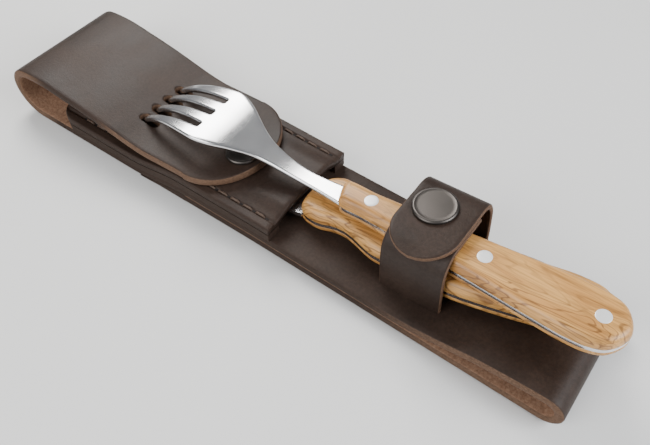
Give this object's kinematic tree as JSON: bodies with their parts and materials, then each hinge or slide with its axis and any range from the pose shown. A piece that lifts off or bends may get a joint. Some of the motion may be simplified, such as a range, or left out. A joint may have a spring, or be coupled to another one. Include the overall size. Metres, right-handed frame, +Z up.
{
  "type": "picnic cutlery",
  "caption": "Table knife and fork with wooden handles carried in a folded leather belt sheath with a press-stud keeper.",
  "frame": {"origin": "centre of the bounding box, on the table the sheath lies on", "axes": "+X along the sheath towards the belt loop, +Y across it to the far long edge, +Z up from the table"},
  "size_m": [0.2456, 0.0492, 0.0356],
  "materials": {
    "leather": "satin brown grain leather, tan flesh side",
    "thread": "waxed brown thread",
    "stud_metal": "dark gunmetal, satin",
    "steel": "polished stainless steel",
    "rivet_metal": "polished flush",
    "olive_wood": "oiled, satin"
  },
  "bodies": {
    "sheath": {"back_strap": "leather", "flap_strap": "leather", "pocket_front": "leather", "pocket_welt": "leather", "near_stitching": "thread", "far_stitching": "thread", "keeper_near_strap": "leather", "keeper_far_strap": "leather", "keeper_snap_stud": "stud_metal", "flap_snap_stud": "stud_metal"},
    "flap_end": {"flap_tongue": "leather", "flap_snap_cap": "stud_metal", "flap_snap_socket": "stud_metal"},
    "keeper_end": {"keeper_tab": "leather", "keeper_snap_cap": "stud_metal", "keeper_snap_socket": "stud_metal"},
    "knife": {"knife_blade": "steel", "knife_upper_scale": "olive_wood", "knife_lower_scale": "olive_wood", "knife_rivets": "rivet_metal"},
    "fork": {"fork_steel": "steel", "fork_upper_scale": "olive_wood", "fork_lower_scale": "olive_wood", "fork_rivets": "rivet_metal"}
  },
  "joints": [
    {"name": "knife_slide", "type": "slide", "parent": "sheath", "child": "knife", "axis": [0.9938, 0.0869, 0.0698], "range_m": [0, 0.215]},
    {"name": "fork_draw", "type": "slide", "parent": "sheath", "child": "fork", "axis": [0.9976, 0, 0.0698], "range_m": [0, 0.0045]},
    {"name": "keeper_open", "type": "hinge", "parent": "sheath", "child": "keeper_end", "pos_m": [0.05787, 0.012, 0.03416], "axis": [-0.9976, 0, -0.0698], "range_deg": [0, 150]},
    {"name": "flap_unsnap", "type": "hinge", "parent": "sheath", "child": "flap_end", "pos_m": [-0.049, 0, 0.0156], "axis": [0, -1, 0], "range_deg": [0, 6]}
  ]
}
